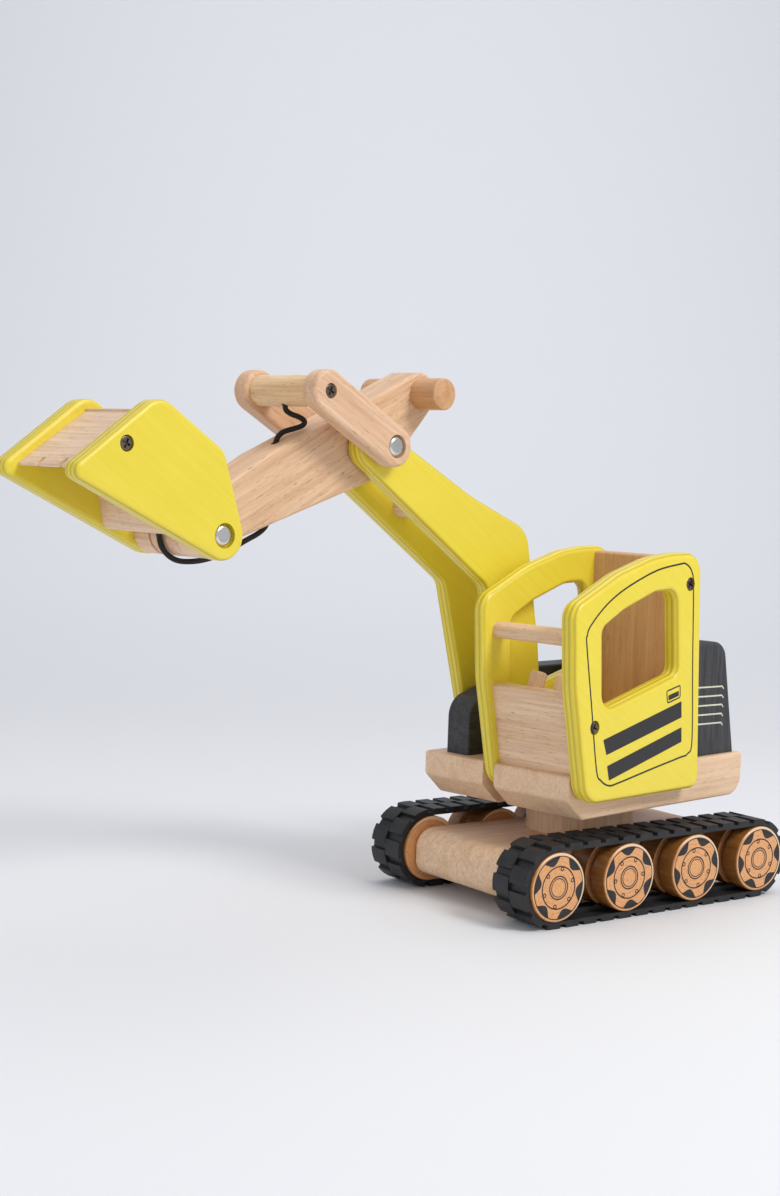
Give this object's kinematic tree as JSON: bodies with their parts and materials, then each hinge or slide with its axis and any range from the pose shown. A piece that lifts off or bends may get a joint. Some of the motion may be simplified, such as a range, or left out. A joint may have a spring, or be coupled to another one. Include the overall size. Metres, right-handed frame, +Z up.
{
  "type": "toy excavator",
  "caption": "Wooden tracked toy excavator with a swivelling cab house, plate boom, stick, and a bucket tipped by a hand lever through a cord",
  "frame": {"origin": "Centre of the overall box in plan, on the ground under the tracks, with the house swung 8 degrees to the cab side.", "axes": "+X forward along the tracks towards the bucket, +Y to the cab side, +Z up."},
  "size_m": [0.4908, 0.155, 0.3106],
  "materials": {
    "beech_block": "clear satin lacquer over straight-grained solid beech",
    "chassis_beech": "clear satin lacquer, grain along the board",
    "dowel_beech": "smooth sanded beech dowel",
    "yellow_ply": "yellow lacquered plywood, layers showing on the rounded edges",
    "yellow_cab_ply": "yellow lacquered plywood with printed lines, layers showing on the rounded edges",
    "yellow_bucket_ply": "yellow lacquered plywood, layers showing on the edges",
    "bucket_boards": "clear lacquered beech",
    "dark_stained_wood": "near-black stained beech, open pores showing, satin",
    "control_lever_wood": "plain beech pegs",
    "wheel_wood": "warm brown turned wood with a printed ring pattern on the outer face",
    "track_rubber": "matt black moulded rubber",
    "plated_steel": "bright plated steel",
    "washer_plastic": "dark nylon",
    "spacer_wood": "turned beech ring",
    "cord_fibre": "dark braided cord"
  },
  "bodies": {
    "chassis": {"chassis_board": "chassis_beech", "turntable_column": "chassis_beech", "swivel_washer": "washer_plastic", "belt_left": "track_rubber", "belt_right": "track_rubber"},
    "wheelset_1": {"axle_1": "dowel_beech", "wheel_left_1": "wheel_wood", "wheel_right_1": "wheel_wood"},
    "wheelset_2": {"axle_2": "dowel_beech", "wheel_left_2": "wheel_wood", "wheel_right_2": "wheel_wood"},
    "wheelset_3": {"axle_3": "dowel_beech", "wheel_left_3": "wheel_wood", "wheel_right_3": "wheel_wood"},
    "wheelset_4": {"axle_4": "dowel_beech", "wheel_left_4": "wheel_wood", "wheel_right_4": "wheel_wood"},
    "house": {"base_block": "beech_block", "swivel_bolt": "plated_steel", "cab_panel_left": "yellow_cab_ply", "cab_panel_right": "yellow_cab_ply", "cab_front_wall": "beech_block", "cab_back_wall": "beech_block", "cab_crossbar": "beech_block", "control_lever_left": "control_lever_wood", "control_lever_right": "control_lever_wood", "cab_screws": "plated_steel", "engine_block": "dark_stained_wood", "boom_block": "dark_stained_wood"},
    "boom": {"boom_plate_left": "yellow_ply", "boom_plate_right": "yellow_ply", "boom_spacer": "beech_block", "boom_axle": "plated_steel", "boom_axle_caps": "plated_steel", "boom_washers": "washer_plastic"},
    "stick": {"stick": "beech_block", "handle_dowel": "dowel_beech", "main_axle": "plated_steel", "main_axle_caps": "plated_steel", "cord_inner": "cord_fibre", "cord_lower": "cord_fibre"},
    "lever": {"lever_arm_left": "beech_block", "lever_arm_right": "beech_block", "lever_dowel": "dowel_beech", "lever_screws": "plated_steel", "cord_upper": "cord_fibre"},
    "bucket": {"bucket_plate_left": "yellow_bucket_ply", "bucket_plate_right": "yellow_bucket_ply", "bucket_blade": "bucket_boards", "bucket_back_board": "bucket_boards", "bucket_spacer_left": "spacer_wood", "bucket_spacer_right": "spacer_wood", "bucket_axle": "plated_steel", "bucket_axle_caps": "plated_steel", "bucket_screws": "plated_steel"}
  },
  "joints": [
    {"name": "wheelset_1_spin", "type": "hinge", "parent": "chassis", "child": "wheelset_1", "pos_m": [-0.05782, -0.00344, 0.0241], "axis": [0, 1, 0], "continuous": true},
    {"name": "wheelset_2_spin", "type": "hinge", "parent": "chassis", "child": "wheelset_2", "pos_m": [-0.11232, -0.00344, 0.0241], "axis": [0, 1, 0], "continuous": true},
    {"name": "wheelset_3_spin", "type": "hinge", "parent": "chassis", "child": "wheelset_3", "pos_m": [-0.16682, -0.00344, 0.0241], "axis": [0, 1, 0], "continuous": true},
    {"name": "wheelset_4_spin", "type": "hinge", "parent": "chassis", "child": "wheelset_4", "pos_m": [-0.22132, -0.00344, 0.0241], "axis": [0, 1, 0], "continuous": true},
    {"name": "house_swivel", "type": "hinge", "parent": "chassis", "child": "house", "pos_m": [-0.13912, -0.00344, 0.0587], "axis": [0, 0, 1], "continuous": true},
    {"name": "boom_pivot", "type": "hinge", "parent": "house", "child": "boom", "pos_m": [-0.097, -0.03438, 0.105], "axis": [-0.1392, 0.9903, 0], "range_deg": [-22, 34]},
    {"name": "stick_pivot", "type": "hinge", "parent": "boom", "child": "stick", "pos_m": [0.03035, -0.01648, 0.268], "axis": [-0.1392, 0.9903, 0], "range_deg": [-35, 50]},
    {"name": "lever_pivot", "type": "hinge", "parent": "stick", "child": "lever", "pos_m": [0.03035, -0.01648, 0.268], "axis": [-0.1392, 0.9903, 0], "range_deg": [-30, 5], "deforming": ["cord_upper"]},
    {"name": "bucket_pivot", "type": "hinge", "parent": "stick", "child": "bucket", "pos_m": [0.15067, 0.00043, 0.2198], "axis": [-0.1392, 0.9903, 0], "range_deg": [-15, 90], "deforming": ["cord_lower"]}
  ],
  "couplings": [
    {"joint": "wheelset_2_spin", "follows": "wheelset_1_spin", "ratio": 1},
    {"joint": "wheelset_3_spin", "follows": "wheelset_1_spin", "ratio": 1},
    {"joint": "wheelset_4_spin", "follows": "wheelset_1_spin", "ratio": 1},
    {"joint": "bucket_pivot", "follows": "lever_pivot", "ratio": -3}
  ]
}
